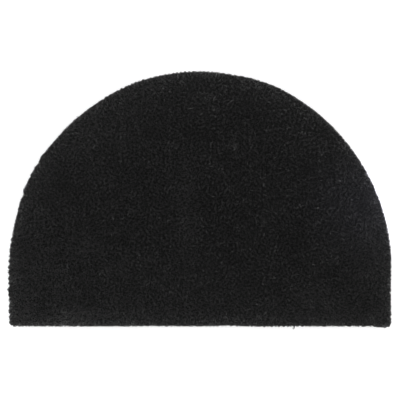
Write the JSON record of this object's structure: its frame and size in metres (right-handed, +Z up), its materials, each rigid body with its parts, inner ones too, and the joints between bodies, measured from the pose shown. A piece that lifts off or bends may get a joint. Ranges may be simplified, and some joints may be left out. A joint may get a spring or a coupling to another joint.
{
  "type": "coir doormat",
  "caption": "Flat half-moon doormat of dense cut coir pile on a thin soft backing, with a straight front edge and an arched back.",
  "frame": {"origin": "middle of the underside's box, on the floor", "axes": "+X along the straight front edge, +Y from the front edge towards the arch, +Z up through the pile"},
  "size_m": [0.6012, 0.4024, 0.0149],
  "materials": {
    "coir_pile": "cut coconut-fibre pile dyed black, matt and bristly",
    "vinyl_backing": "soft black vinyl, satin, with a fine moulded grain"
  },
  "bodies": {
    "root": {"coir_mat": "coir_pile"}
  },
  "joints": []
}
